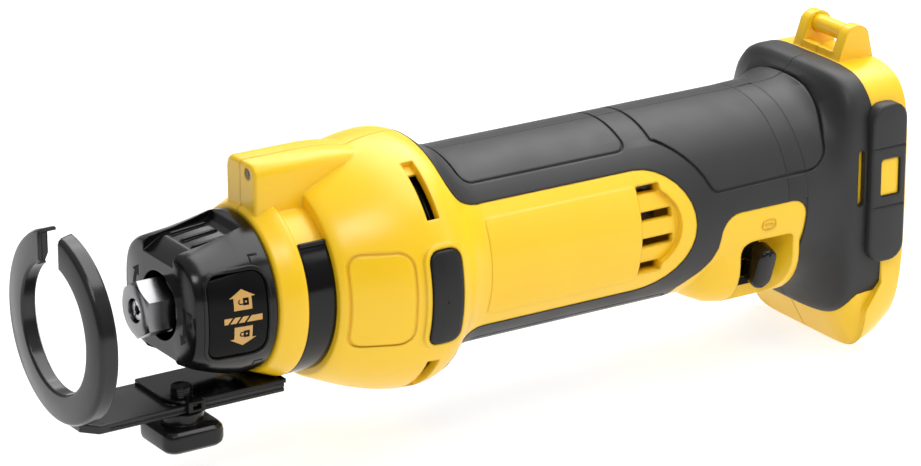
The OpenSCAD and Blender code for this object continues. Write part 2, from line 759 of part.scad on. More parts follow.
// Metal carrier of the front bearing, with the sleeve that the collar turns on
module bearing_carrier() {
  x0 = x_ring + 14;
  x1 = x_bulge - 3;
  xb = x_bulge + 1;
  color(steel) turned([[sleeve_r - 3, x0], [sleeve_r, x0], [sleeve_r, x_ring - 1], [carrier_r, x_ring - 1],
    [carrier_r, x1], [front_bearing_r - 2, x1], [front_bearing_r - 2, xb - 0.1],
    [front_bearing_r + seat_gap, xb - 0.1], [front_bearing_r + seat_gap, xb + front_bearing_w + 0.1],
    [sleeve_r - 3, xb + front_bearing_w + 0.1]]);
}

// A plain bearing ring with its shields
module bearing(x0, x1, inner, outer) {
  turned([[inner, x0], [outer - 0.5, x0], [outer, x0 + 0.5], [outer, x1 - 0.5], [outer - 0.5, x1],
    [inner, x1]]);
}

module front_bearing() {
  color(steel) bearing(x_bulge + 1, x_bulge + 1 + front_bearing_w, journal_r + run_gap, front_bearing_r);
}

module rear_bearing() {
  color(steel) bearing(x_bulkhead - 9, x_bulkhead - 9 + rear_bearing_w, tail_r + run_gap, rear_bearing_r);
}

// Steel field ring of the motor
module motor_can() {
  color(steel) turned([[bore_r - 2.6, x_can - can_len], [bore_r - seat_gap, x_can - can_len],
    [bore_r - seat_gap, x_can], [bore_r - 2.6, x_can]]);
}

magnet_r = bore_r - 2.6 - seat_gap;
armature_r = magnet_r - 4.2;

// Four curved magnets inside the field ring
module field_magnets() {
  color([0.25, 0.25, 0.27]) for (a = [10, 100, 190, 280])
    sector(magnet_r - 3.6, magnet_r, x_core - core_len - 3, x_core + 3, a, a + 70);
}

comm_r = 9;

// Two brass brush holders, above and below the commutator
module brush_holders() {
  color(brass) for (a = [0, 180]) rotate([a, 0, 0]) difference() {
    block(x_comm - comm_len + 2, -5.5, comm_r + 2, x_comm - 3, 5.5, bore_r - 3);
    block(x_comm - comm_len + 3.2, -4, comm_r + 1, x_comm - 4.2, 4, bore_r - 4.4);
  }
}

// Two carbon brushes that bear on the commutator
module carbon_brushes() {
  color(black) for (a = [0, 180]) rotate([a, 0, 0])
    block(x_comm - comm_len + 3.2 + seat_gap, -4 + seat_gap, comm_r + 0.1, x_comm - 4.2 - seat_gap,
      4 - seat_gap, comm_r + 11);
}

// Electric switch inside the barrel, beside the slide's stem
module switch_module() {
  color(black) block(x_switch, switch_y, switch_top - switch_h, x_switch + switch_len,
    switch_y + switch_w, switch_top);
}

// Black carrier of the battery terminals
module terminal_block() {
  color(black) difference() {
    block(x_channel - 9, -15, 6 + seat_gap, x_foot + 4, 15, 24 - seat_gap);
    for (y = [-12, -6, 0, 6, 12])
      block(x_channel - 7.5, y - 0.5 - seat_gap, 0, x_channel - 0.8, y + 0.5 + seat_gap, 18);
  }
}

// Flat contact blades that meet the battery
module terminal_blades() {
  color(brass) for (y = [-12, -6, 0, 6, 12])
    block(x_channel - 7.5 + seat_gap, y - 0.5, -8, x_channel - 0.8 - seat_gap, y + 0.5, 18 - seat_gap);
}

// Band around the neck and the plate that carries the depth guide
module guide_bracket() {
  x0 = x_groove - 0.2;
  color(black) difference() {
    union() {
      sector(neck_r + seat_gap, ring_r, x0 - band_w, x0, 141.3, 398.7);
      guide_plate(x0 - 1);
      block(x0 - 1, -8, plate_bottom, x0, 8, -neck_r);
    }
    bar_x(x0 - band_w - 1, x_ring, neck_r + seat_gap);
    translate([screw_x, screw_y, plate_bottom - 1]) cylinder(h = 5, r = screw_d / 2 + run_gap);
  }
}

// Plate of the bracket, with one large rounded front corner and a small windowed tab beside the arm
module guide_plate(x0) {
  h = arm_w / 2;
  translate([0, 0, plate_bottom]) linear_extrude(plate_top - plate_bottom)
    polygon(concat([[x0, -h], [-5.6, -h], [-5, -h + 0.6]], arc(-13, h - 8, 8, 8, 0, 90, 6), [[x0, h]]));
  difference() {
    block(screw_x - 5, h - 1, plate_bottom - 2.4, screw_x + 1, h + 1.5, plate_top);
    block(screw_x - 6, h - 2, plate_bottom - 3, screw_x + 2, h + 0.3, plate_bottom);
    block(screw_x - 3.6, h, plate_bottom - 1.4, screw_x - 0.4, h + 2, plate_bottom + 0.4);
  }
}

// Shaft of the motor with the threaded nose that holds the collet
module spindle() {
  xb = x_bulge + 1;
  xt = x_bulkhead + 1;
  color(steel) difference() {
    turned([[0, -4.4], [nose_r - 0.6, -4.4], [nose_r, -5], [nose_r, xb + front_bearing_w + 0.4],
      [journal_r, xb + front_bearing_w + 0.4], [journal_r, xb - 0.6], [shaft_r, xb - 0.6], [shaft_r, xt],
      [tail_r, xt], [tail_r, x_bulkhead - 9.4], [0, x_bulkhead - 9.4]]);
    bar_x(-collet_len - 2, 1, collet_d / 2 + seat_gap);
  }
}

// Laminated core of the armature with its winding slots
module armature_core() {
  color([0.45, 0.45, 0.48]) difference() {
    bar_x(x_core - core_len, x_core, armature_r);
    bar_x(x_core - core_len - 1, x_core + 1, shaft_r + seat_gap);
    for (a = [0 : 30 : 330]) rotate([a, 0, 0])
      block(x_core - core_len - 1, -1.2, armature_r - 7, x_core + 1, 1.2, armature_r + 1);
  }
}

// End turns of the copper windings on both sides of the core
module windings() {
  r0 = shaft_r + seat_gap;
  r1 = armature_r - 1.5;
  color(copper) {
    turned([[r0, x_core + 0.1], [r1, x_core + 0.1], [r1, x_core + 4], [r1 - 3, x_core + 6],
      [r0, x_core + 6]]);
    turned([[r0, x_core - core_len - 0.1], [r0, x_comm + 0.4], [r1 - 6, x_comm + 0.4],
      [r1, x_core - core_len - 4], [r1, x_core - core_len - 0.1]]);
  }
}

module commutator() {
  color(copper) turned([[shaft_r + seat_gap, x_comm - comm_len], [comm_r, x_comm - comm_len],
    [comm_r, x_comm], [shaft_r + seat_gap, x_comm]]);
}

// Fan that blows the motor's air out of the bulge vents
module cooling_fan() {
  r = bulge_r - wall - 3;
  color(black) {
    turned([[shaft_r + seat_gap, x_wide - 6], [9, x_wide - 6], [9, x_wide - 2], [r, x_wide - 2],
      [r, x_wide], [9, x_wide], [9, x_wide + 8], [shaft_r + seat_gap, x_wide + 8]]);
    for (a = [0 : 30 : 330]) rotate([a, 0, 0])
      block(x_wide - 1, -0.8, 8, x_wide + 6, 0.8, r - 0.5);
  }
}

// Spring collet with three slits
module collet() {
  r = collet_d / 2;
  color(steel) difference() {
    turned([[0, -collet_len], [r - 0.6, -collet_len], [r, -collet_len + 1], [r, -1.6], [r - 0.8, 0],
      [0, 0]]);
    bar_x(-collet_len - 1, 1, collet_bore_d / 2);
    for (a = [30, 150, 270]) rotate([a, 0, 0])
      block(-collet_len + 6, -0.25, 0, 1, 0.25, r + 1);
  }
}

// Hexagon nut that closes the collet
module collet_nut() {
  r = nut_af / sqrt(3);
  x0 = 1;
  x1 = 1 - nut_hex_len;
  color([0.4, 0.4, 0.42]) difference() {
    union() {
      intersection() {
        translate([x1, 0, 0]) rotate([0, 90, 0]) cylinder(h = nut_hex_len, r = r, $fn = 6);
        turned([[0, x1 - 1], [r + 1, x1 - 1], [r + 1, x0 - 1.4], [nut_af / 2 - 0.5, x0], [0, x0]]);
      }
      bar_x(x1 - 4, x1 + 0.5, nut_af / 2 + 0.4);
    }
    bar_x(-2, x0 + 1, collet_d / 2 + 0.1);
    bar_x(x1 - 5, -1.6, nose_r + seat_gap);
  }
}

// Outer form of the collar, round at the back and flatter in front, moved inward by a depth
module collar_form(d) {
  n = 72;
  w = collar_front_w / 2 - d;
  t = collar_front_h / 2 + 0.7 - d;
  b = collar_front_h / 2 - 1.5 - d;
  r = collar_r - d;
  xf = x_collar_front;
  xb = x_collar_back;
  loft([
    at_x(xb, squircle(r - 0.3, r - 0.3, r - 0.3, 2, n)),
    at_x(xb + 0.4, squircle(r, r, r, 2, n)),
    at_x(xb + 4, squircle(r, r, r, 2.05, n)),
    at_x(xb + collar_len * 0.35, squircle(r - 0.5, r - 2.2, r - 1.1, 2.3, n)),
    at_x(xb + collar_len * 0.6,
      squircle(w * 0.4 + r * 0.6 - 0.3, (t + r) / 2 - 1.2, b * 0.45 + r * 0.55, 2.6, n)),
    at_x(xb + collar_len * 0.8, squircle((w * 3 + r) / 4, t * 0.8 + r * 0.2 - 0.5, (b * 3 + r) / 4, 2.9, n)),
    at_x(xf - 2, squircle(w, t, b, 3.1, n)),
    at_x(xf - 0.7, squircle(w - 0.7, t - 0.7, b - 0.7, 3.1, n)),
    at_x(xf, squircle(w - 2, t - 2, b - 2, 3, n))]);
}

pad_x1 = x_collar_front - 4.8;
pad_x0 = pad_x1 - pad_len;
pad_floor = sleeve_r + 1.9;

// Side outline of a squeeze pad, grown by a gap
function pad_outline(g) = round_box(pad_x0 - g, 1 - pad_h / 2 - g, pad_x1 + g, 1 + pad_h / 2 + g, 4 + g);

// Collar that is squeezed and turned to open or close the collet
module bit_change_collar() {
  color(black) difference() {
    collar_form(0);
    bar_x(x_collar_back - 1, x_ring + 14.5, sleeve_r + 0.3);
    bar_x(x_ring + 14, x_collar_front + 1, nut_af / 2 + 3);
    through_side(pad_floor - pad_gap, 60, pad_outline(pad_gap));
    through_side(-60, -pad_floor + pad_gap, pad_outline(pad_gap));
    thumb_rest(1);
    thumb_rest(-1);
  }
}

// Hollow for thumb or finger on top or underneath, open to the front, with three ribs on its floor
module thumb_rest(s) {
  xf = x_collar_front;
  z = collar_front_h / 2 - 4.1;
  mirror([0, 0, s > 0 ? 0 : 1]) difference() {
    through_side(-hollow_half, hollow_half, [[xf + 1, 60], [xf + 1, z - 0.6], [xf - 6.8, z + 4.1],
      [xf - 21.4, z + 5.6], [xf - 23.6, z + 6.6], [xf - 24.8, z + 8.4], [xf - 25.2, z + 11],
      [xf - 25.2, 60]]);
    for (k = [-1, 0, 1])
      through_side(k * 7.2 - 0.45, k * 7.2 + 0.45, [[xf - 8, z + 2], [xf - 8, z + 4.3], [xf - 8.8, z + 5.2],
        [xf - 21, z + 6.3], [xf - 22, z + 5.7], [xf - 22, z + 3]]);
  }
}

module squeeze_pad(s) {
  y = s > 0 ? [pad_floor + pad_travel, 60] : [-60, -pad_floor - pad_travel];
  color(black) intersection() {
    through_side(y[0], y[1], pad_outline(0));
    collar_form(0.3);
  }
}

module squeeze_pad_left() {
  squeeze_pad(1);
}

module squeeze_pad_right() {
  squeeze_pad(-1);
}

// Slide of the on and off switch, which leans with the pod's side, and its stem into the housing
module switch_slider() {
  color(black) {
    translate([0, slider_y, slider_z]) rotate([-slider_lean, 0, 0]) rotate([-90, 0, 0])
      soft_block(x_slider, -slider_len / 2, -slider_h, x_slider + slider_w, slider_len / 2, 0,
        slider_w / 2 - 0.1, 1.6);
    block(x_stem, stem_y, stem_z - stem_h / 2, x_stem + stem_w, pocket_y + 3.4, stem_z + stem_h / 2);
  }
}

// Ring and arm of the depth guide, with the gap and the hollow end at the ring's top
module depth_guide() {
  r0 = guide_hole_d / 2;
  r1 = guide_d / 2;
  xf = guide_reach;
  xr = guide_reach - guide_t;
  h = arm_w / 2;
  y0 = -guide_gap / 2 - 1.5;
  y1 = guide_gap / 2 - 1.5;
  foot = [arm_top - 1, 2 - r1];
  color(black) difference() {
    union() {
      block(xr + 0.6, -2.5, min(foot), xr + 2.4, 2.5, max(foot));
      difference() {
        turned([[r0, xr + 1.7], [r0 + 3, xr], [r1 - 0.5, xr], [r1, xr + 0.5], [r1, xf - 1.6],
          [r1 - 0.6, xf - 0.5], [r1 - 1.6, xf], [r0 + 0.6, xf], [r0, xf - 0.6]]);
        translate([0, 0, r0 - 8]) linear_extrude(r1)
          polygon([[xr - 1, y0], [xf + 1, y0], [xf + 1, y1 + 0.2], [xr - 1, y1 - 2.8]]);
        intersection() {
          block(xr - 1, y0 - 6, r0 - 4, xf - 1.5, y0 + 1, r1);
          bar_x(xr - 2, xf, r1 - 1.3);
        }
      }
      difference() {
        translate([0, 0, arm_top - arm_h]) linear_extrude(arm_h)
          polygon([[x_arm_back, -h], [xr - 2, -h], [xr + 2.5, 5 - h], [xr + 2.5, h - 5], [xr - 2, h],
            [x_arm_back, h]]);
        block(x_arm_back - 1, -h + flange_t, arm_top - arm_h - 1, xr - 4, h - flange_t, arm_top - sheet);
        for (y = [-h, h])
          block(x_arm_back - 1, y - 0.3, arm_top - sheet - 0.3, xr - 6, y + 0.3, arm_top - sheet + 0.3);
      }
    }
    translate([0, screw_y, arm_top - sheet - 1]) linear_extrude(sheet + 3)
      polygon(round_box(screw_x - guide_out - slot_w / 2, -slot_w / 2, screw_x + guide_in + slot_w / 2,
        slot_w / 2, slot_w / 2 - 0.1, 6));
  }
}

knob_top = arm_top - arm_h - run_gap;

// Square knob that clamps the guide
module clamp_knob() {
  k = knob_w / 2;
  z0 = knob_top - knob_neck - knob_h;
  color(black) difference() {
    union() {
      soft_block(screw_x - k, screw_y - k, z0, screw_x + k, screw_y + k, z0 + knob_h, 4.5, 2.6);
      translate([screw_x, screw_y, z0 + knob_h - 1]) cylinder(h = knob_neck + 1, r = 7.2);
    }
    translate([screw_x, screw_y, z0 + 2.5]) cylinder(h = 40, r = screw_d / 2 + seat_gap);
  }
}

// Threaded screw of the knob, up through the arm's slot and the plate
module clamp_screw() {
  z0 = knob_top - knob_neck - knob_h + 2.6;
  color(black) translate([screw_x, screw_y, z0]) {
    cylinder(h = plate_top + 3.8 - z0, r = screw_d / 2);
  }
}

housing_left();
housing_right();
grip_left();
grip_right();
bulge_pad_left();
bulge_pad_right();
foot_bumper_left();
foot_bumper_right();
lamp_lens();
lamp_board();
hang_pin();
case_screws();
bearing_carrier();
front_bearing();
rear_bearing();
motor_can();
field_magnets();
brush_holders();
carbon_brushes();
switch_module();
terminal_block();
terminal_blades();
guide_bracket();
spindle();
armature_core();
windings();
commutator();
cooling_fan();
collet();
collet_nut();
bit_change_collar();
squeeze_pad_left();
squeeze_pad_right();
switch_slider();
depth_guide();
clamp_knob();
clamp_screw();
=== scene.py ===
import json
import math
import bpy
import bmesh
from mathutils import Matrix, Vector


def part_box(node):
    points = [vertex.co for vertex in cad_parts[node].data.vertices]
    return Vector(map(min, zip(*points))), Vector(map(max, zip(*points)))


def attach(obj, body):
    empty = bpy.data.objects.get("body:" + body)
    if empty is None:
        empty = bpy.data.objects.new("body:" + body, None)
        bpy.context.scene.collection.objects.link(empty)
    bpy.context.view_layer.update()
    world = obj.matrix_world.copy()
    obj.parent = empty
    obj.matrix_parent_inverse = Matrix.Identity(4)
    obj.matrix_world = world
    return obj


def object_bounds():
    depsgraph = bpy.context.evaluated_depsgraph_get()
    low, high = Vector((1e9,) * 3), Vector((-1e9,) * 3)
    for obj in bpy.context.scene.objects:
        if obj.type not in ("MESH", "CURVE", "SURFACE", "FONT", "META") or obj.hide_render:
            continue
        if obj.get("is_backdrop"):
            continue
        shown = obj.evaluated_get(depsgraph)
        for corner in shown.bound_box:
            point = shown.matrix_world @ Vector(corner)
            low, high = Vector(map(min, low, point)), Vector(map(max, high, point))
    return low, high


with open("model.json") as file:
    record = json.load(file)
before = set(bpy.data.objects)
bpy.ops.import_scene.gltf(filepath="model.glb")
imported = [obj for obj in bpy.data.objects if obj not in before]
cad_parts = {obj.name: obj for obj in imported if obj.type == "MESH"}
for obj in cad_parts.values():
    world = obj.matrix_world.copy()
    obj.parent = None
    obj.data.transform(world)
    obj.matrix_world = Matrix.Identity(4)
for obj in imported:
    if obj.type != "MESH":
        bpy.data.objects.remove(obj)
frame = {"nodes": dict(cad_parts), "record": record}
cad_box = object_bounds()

MM = 0.001
nodes = frame["nodes"]


# Materials

TONE_SCALE = 28
GLOSS_SCALE = 70
TONE_DETAIL = 4
GRAIN_DETAIL = 2
BEVEL_SAMPLES = 6
BUMP_STRENGTH = 0.35
EVEN = (1, 1, 1)
ALONG = (0.1, 1, 1)


def new_material(name, roughness, metallic=0.0, specular=0.5):
    """A principled material with its constants set straight on the shader."""
    mat = bpy.data.materials.new(name)
    mat.use_nodes = True
    shader = mat.node_tree.nodes["Principled BSDF"]
    shader.inputs["Roughness"].default_value = roughness
    shader.inputs["Metallic"].default_value = metallic
    shader.inputs["Specular IOR Level"].default_value = specular
    return mat, shader


def noise(tree, scale, detail, stretch=EVEN):
    """Noise over the object's own coordinates, drawn out by a stretch."""
    coords = tree.nodes.new("ShaderNodeTexCoord")
    mapping = tree.nodes.new("ShaderNodeMapping")
    mapping.inputs["Scale"].default_value = stretch
    node = tree.nodes.new("ShaderNodeTexNoise")
    node.inputs["Scale"].default_value = scale
    node.inputs["Detail"].default_value = detail
    tree.links.new(coords.outputs["Object"], mapping.inputs["Vector"])
    tree.links.new(mapping.outputs["Vector"], node.inputs["Vector"])
    return node.outputs["Fac"]


def spread(tree, value, low, high, start=0.3, end=0.7):
    """Maps a value onto a range; the usual start and end suit a noise."""
    node = tree.nodes.new("ShaderNodeMapRange")
    for key, number in (("From Min", start), ("From Max", end), ("To Min", low), ("To Max", high)):
        node.inputs[key].default_value = number
    tree.links.new(value, node.inputs["Value"])
    return node.outputs["Result"]


def surface(name, color_a, color_b, rough, grain, depth, edge, metallic=0.0, specular=0.5, stretch=EVEN):
    """A material whose colour drifts between two close tones, with uneven gloss, a fine grain of a depth
    in millimetres and edges rounded by a small radius in millimetres."""
    mat, shader = new_material(name, rough[0], metallic, specular)
    tree = mat.node_tree
    mix = tree.nodes.new("ShaderNodeMix")
    mix.data_type = "RGBA"
    mix.inputs["A"].default_value = (*color_a, 1.0)
    mix.inputs["B"].default_value = (*color_b, 1.0)
    tone = spread(tree, noise(tree, TONE_SCALE, TONE_DETAIL), 0, 1)
    tree.links.new(tone, mix.inputs["Factor"])
    tree.links.new(mix.outputs["Result"], shader.inputs["Base Color"])
    gloss = spread(tree, noise(tree, GLOSS_SCALE, TONE_DETAIL, stretch), *rough)
    tree.links.new(gloss, shader.inputs["Roughness"])
    corner = tree.nodes.new("ShaderNodeBevel")
    corner.samples = BEVEL_SAMPLES
    corner.inputs["Radius"].default_value = edge * MM
    bump = tree.nodes.new("ShaderNodeBump")
    bump.inputs["Strength"].default_value = BUMP_STRENGTH
    bump.inputs["Distance"].default_value = depth * MM
    tree.links.new(noise(tree, grain, GRAIN_DETAIL, stretch), bump.inputs["Height"])
    tree.links.new(corner.outputs["Normal"], bump.inputs["Normal"])
    tree.links.new(bump.outputs["Normal"], shader.inputs["Normal"])
    return mat


def grey(value):
    """A grey with a hint of blue."""
    return (value, value, value * 1.03)


MATERIALS = {
    "yellow_plastic": surface(
        "moulded_yellow", (0.93, 0.580, 0.013), (0.90, 0.548, 0.011),
        rough=(0.28, 0.38), grain=2600, depth=0.02, edge=1.3),
    "dark_rubber": surface(
        "soft_rubber", grey(0.023), grey(0.029),
        rough=(0.40, 0.50), grain=3200, depth=0.03, edge=0.9, specular=0.30),
    "black_plastic": surface(
        "moulded_black", grey(0.004), grey(0.005),
        rough=(0.15, 0.22), grain=2600, depth=0.02, edge=0.6, specular=0.32),
    "circuit_board": surface(
        "board_green", (0.03, 0.17, 0.07), (0.02, 0.12, 0.05),
        rough=(0.3, 0.5), grain=900, depth=0.01, edge=0.2),
    "carbon": surface(
        "pressed_carbon", grey(0.03), grey(0.05),
        rough=(0.6, 0.8), grain=1800, depth=0.03, edge=0.2),
    "clear_lens": surface(
        "lamp_lens_clear", grey(0.05), grey(0.04),
        rough=(0.10, 0.16), grain=300, depth=0.01, edge=0.2),
    "bright_steel": surface(
        "steel_turned", grey(0.58), grey(0.50),
        rough=(0.22, 0.36), grain=900, depth=0.01, edge=0.3, metallic=1.0, stretch=ALONG),
    "dark_steel": surface(
        "steel_dark", grey(0.24), grey(0.19),
        rough=(0.18, 0.28), grain=900, depth=0.01, edge=0.35, metallic=1.0, stretch=ALONG),
    "magnet": surface(
        "magnet_grey", grey(0.15), grey(0.12),
        rough=(0.5, 0.7), grain=900, depth=0.01, edge=0.3, metallic=1.0),
    "brass": surface(
        "brass_bare", (0.72, 0.5, 0.18), (0.62, 0.42, 0.14),
        rough=(0.25, 0.4), grain=900, depth=0.01, edge=0.3, metallic=1.0),
    "copper": surface(
        "copper_wire", (0.7, 0.32, 0.12), (0.6, 0.26, 0.09),
        rough=(0.3, 0.45), grain=900, depth=0.01, edge=0.3, metallic=1.0),
    "black_metal": surface(
        "black_coating", grey(0.003), grey(0.004),
        rough=(0.08, 0.14), grain=1500, depth=0.008, edge=0.8, specular=0.26),
}
GRAPHITE = surface(
    "graphite_coating", grey(0.024), grey(0.018),
    rough=(0.16, 0.24), grain=1800, depth=0.01, edge=0.9, metallic=0.4)
# Black for printed marks and for painted shade: the slot and pocket of the slide, the screw sockets and the
# small holes of the bulge pads are painted black where shade falls
BLACK_PRINT_AND_SHADE = surface(
    "black_print_and_painted_shade", grey(0.003), grey(0.005),
    rough=(0.5, 0.7), grain=1800, depth=0.02, edge=0.2, specular=0.15)
GOLD_PRINT = surface(
    "printed_gold", (0.62, 0.36, 0.10), (0.55, 0.31, 0.08),
    rough=(0.35, 0.5), grain=2600, depth=0.01, edge=0.05)
SOFT_PAD = surface(
    "soft_rubber_pad", grey(0.012), grey(0.016),
    rough=(0.34, 0.44), grain=3200, depth=0.03, edge=1.6, specular=0.24)
DARK_LENS = surface(
    "lens_dark", (0.20, 0.11, 0.02), (0.15, 0.08, 0.015),
    rough=(0.25, 0.35), grain=300, depth=0.01, edge=0.2, specular=0.3)
DULL_BLACK = surface(
    "pad_black", grey(0.004), grey(0.005),
    rough=(0.24, 0.32), grain=2600, depth=0.02, edge=0.6, specular=0.10)

# Nodes with a material of their own instead of their slot's usual one
FINER = {
    "depth_guide": GRAPHITE, "lamp_lens": DARK_LENS,
    "bulge_pad_left": SOFT_PAD, "bulge_pad_right": SOFT_PAD,
    "squeeze_pad_left": DULL_BLACK, "squeeze_pad_right": DULL_BLACK,
}
SLOT_OF = {row["node"]: row["material_slot"] for row in frame["record"]["subparts"]}

# Edges above these angles in degrees stay sharp; points within the gap in millimetres are one
USUAL_ANGLE = 28
GRIP_ANGLE = 44
SPLIT_ANGLE = {"grip_left": GRIP_ANGLE, "grip_right": GRIP_ANGLE}
WELD_GAP = 0.002


def smooth_by_angle(obj, degrees):
    """Shades an object smooth, and keeps edges above an angle sharp."""
    for polygon in obj.data.polygons:
        polygon.use_smooth = True
    weld = obj.modifiers.new("weld", "WELD")
    weld.merge_threshold = WELD_GAP * MM
    split = obj.modifiers.new("edges", "EDGE_SPLIT")
    split.split_angle = math.radians(degrees)


def dress(name):
    """Gives a CAD node its material and its shading."""
    obj = nodes[name]
    obj.data.materials.clear()
    obj.data.materials.append(FINER.get(name, MATERIALS[SLOT_OF[name]]))
    if obj.data.has_custom_normals:
        obj.data.attributes.remove(obj.data.attributes["custom_normal"])
    smooth_by_angle(obj, SPLIT_ANGLE.get(name, USUAL_ANGLE))


for node_name in nodes:
    dress(node_name)

# The walls inside the slot of the slide are painted black as painted shade inside the slot
SLOT_LOW, SLOT_HIGH = (-229, 8, -28), (-216.5, 20.95, -20)
nodes["housing_left"].data.materials.append(BLACK_PRINT_AND_SHADE)
for polygon in nodes["housing_left"].data.polygons:
    middle = polygon.center / MM
    if all(low < value < high for low, value, high in zip(SLOT_LOW, middle, SLOT_HIGH)):
        polygon.material_index = 1


# Flat outlines, in millimetres

def polar(r, degrees):
    return r * math.cos(math.radians(degrees)), r * math.sin(math.radians(degrees))


def circle(u, v, r, a0=0, a1=360, n=14):
    """A circle, or an arc with both of its ends."""
    count = n if a1 - a0 >= 360 else n + 1
    points = [polar(r, a0 + (a1 - a0) * i / n) for i in range(count)]
    return [(u + du, v + dv) for du, dv in points]


def band(u, v, r0, r1, a0, a1, n=12):
    """A curved strip between two radii."""
    return circle(u, v, r1, a0, a1, n) + circle(u, v, r0, a0, a1, n)[::-1]


def capsule(u, v, length, r, n=8):
    half = length / 2 - r
    return circle(u + half, v, r, -90, 90, n) + circle(u - half, v, r, 90, 270, n)


def box_loop(u0, v0, u1, v1):
    return [(u0, v0), (u1, v0), (u1, v1), (u0, v1)]


def round_loop(u0, v0, u1, v1, r):
    """A box with rounded corners."""
    corners = ((u1 - r, v1 - r), (u0 + r, v1 - r), (u0 + r, v0 + r), (u1 - r, v0 + r))
    loop = []
    for i, (u, v) in enumerate(corners):
        loop += circle(u, v, r, 90 * i, 90 * i + 90, 5)
    return loop


# Printed and raised marks that lie on the solids

SIDES = (("left", 1), ("right", -1))
SIDE_START = 60
FRONT_START = 20
SINK = 0.05
PRINT = 0.06


def add_piece(name, bm, body, material):
    mesh = bpy.data.meshes.new(name)
    bm.to_mesh(mesh)
    bm.free()
    mesh.materials.append(material)
    obj = bpy.data.objects.new(name, mesh)
    bpy.context.collection.objects.link(obj)
    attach(obj, body)
    return obj


def flat_cells(loops, cell):
    """A flat mesh inside an outline with holes, cut into small cells so that it can follow a curve."""
    bm = bmesh.new()
    edges = []
    for loop in loops:
        verts = [bm.verts.new((u, v, 0)) for u, v in loop]
        edges += [bm.edges.new((verts[i - 1], verts[i])) for i in range(len(verts))]
    bmesh.ops.triangle_fill(bm, use_beauty=True, use_dissolve=False, edges=edges)
    for axis in (0, 1):
        values = [vert.co[axis] for vert in bm.verts]
        for k in range(1, math.ceil((max(values) - min(values)) / cell)):
            point, normal = [0, 0, 0], [0, 0, 0]
            point[axis] = min(values) + k * cell
            normal[axis] = 1
            everything = bm.verts[:] + bm.edges[:] + bm.faces[:]
            bmesh.ops.bisect_plane(bm, geom=everything, plane_co=point, plane_no=normal)
    return bm


def from_side(s):
    """Start and direction of the rays that lay a mark on from the left (1) or the right (-1)."""
    return (lambda u, v: (u, SIDE_START * s, v)), (0, -s, 0)


def from_front():
    return (lambda u, v: (FRONT_START, u, v)), (-1, 0, 0)


def mark(name, shapes, rays, target, body, material, height, cell=1.5):
    """Lays flat shapes onto a solid along rays, as a thin layer of a height in millimetres."""
    place, direction = rays
    direction = Vector(direction)
    whole = bmesh.new()
    for loops in shapes:
        bm = flat_cells(loops, cell)
        for vert in bm.verts:
            start = Vector(place(vert.co.x, vert.co.y)) * MM
            hit, point, _, _ = nodes[target].ray_cast(start, direction)
            if not hit:
                raise ValueError(name + " misses " + target)
            vert.co = point + direction * SINK * MM
        grown = bmesh.ops.extrude_face_region(bm, geom=bm.faces[:])["geom"]
        top = [item for item in grown if isinstance(item, bmesh.types.BMVert)]
        bmesh.ops.translate(bm, verts=top, vec=-direction * (height + SINK) * MM)
        bmesh.ops.recalc_face_normals(bm, faces=bm.faces[:])
        part = bpy.data.meshes.new(name)
        bm.to_mesh(part)
        bm.free()
        whole.from_mesh(part)
        bpy.data.meshes.remove(part)
    add_piece(name, whole, body, material)


def mark_sides(name, shapes, target, body, material, height):
    """The same mark on the left and on the right; {} in a name stands for the side."""
    for side, s in SIDES:
        mark(name.format(side), shapes, from_side(s), target.format(side), body.format(side),
             material, height)


bpy.context.view_layer.update()

# Signs on the squeeze pads: unlock above, a bit in the middle, lock below
PAD_X = -24.4
UNLOCK_Z, LOCK_Z = 7.3, -6.5
LOCK_DROP = 1.5


def padlock(v, opened):
    """A lying padlock as a hole, and the spots of print that stay inside it."""
    near, far, half, bow, gap = -0.1, -2.1, 1.2, 0.9, 0.45
    open_u, shut_u, open_end = 0.7, 0.4, 80
    hole = [(far, v - half), (near, v - half), (near, v - bow)]
    if opened:
        hole += circle(open_u, v, bow, -90, open_end) + circle(open_u, v, gap, -90, open_end)[::-1]
        return hole + [(near, v - gap), (near, v + half), (far, v + half)], []
    hole += circle(shut_u, v, bow, -90, 90) + [(near, v + bow), (near, v + half), (far, v + half)]
    return hole, [[(0.0, v - gap)] + circle(shut_u, v, gap, -90, 90) + [(0.0, v + gap)]]


def arrow_sign(z, s):
    """A stubby arrow that points up (1) or down (-1), with a lying padlock cut out of it."""
    eaves, wall, tip, foot = 4.5, 3.1, 2.5, 4.1
    key_u, key_r = -1.1, 0.35
    outline = [(eaves, 0), (0, tip * s), (-eaves, 0), (-wall, 0),
               (-wall, -foot * s), (wall, -foot * s), (wall, 0)]
    hole, spots = padlock(-LOCK_DROP * s, s > 0)
    keyhole = circle(key_u, -LOCK_DROP * s, key_r, n=8)
    shapes = [[outline, hole], [keyhole]] + [[spot] for spot in spots]
    return [[[(PAD_X + u, z + v) for u, v in loop] for loop in loops] for loops in shapes]


def bit_sign():
    """A twist bit: a bar with three slanted cuts."""
    length, half, slant = 13, 1, 1.6
    pieces = []
    for start, stop in ((0, 1.2), (2.0, 4.0), (4.8, 6.8), (7.6, length)):
        top_start = start + slant if start > 0 else 0
        top_stop = stop + slant if stop < length else length
        pieces.append([(start, -half), (stop, -half), (top_stop, half), (top_start, half)])
    return [[[(PAD_X + length / 2 - u, v) for u, v in piece]] for piece in pieces]


pad_shapes = arrow_sign(UNLOCK_Z, 1) + bit_sign() + arrow_sign(LOCK_Z, -1)
mark_sides("pad_signs_{}", pad_shapes, "squeeze_pad_{}", "pad_{}", GOLD_PRINT, PRINT)

# Small corner marks on the collar behind the pads
corner_shapes = [[box_loop(-33.0, 18.2, -29.7, 18.8)], [box_loop(-30.3, 16.4, -29.7, 18.1)],
                 [box_loop(-34.0, -17.4, -30.4, -16.8)], [box_loop(-31.0, -18.6, -30.4, -17.5)]]
mark_sides("collar_marks_{}", corner_shapes, "bit_change_collar", "collar", BLACK_PRINT_AND_SHADE,
           PRINT)


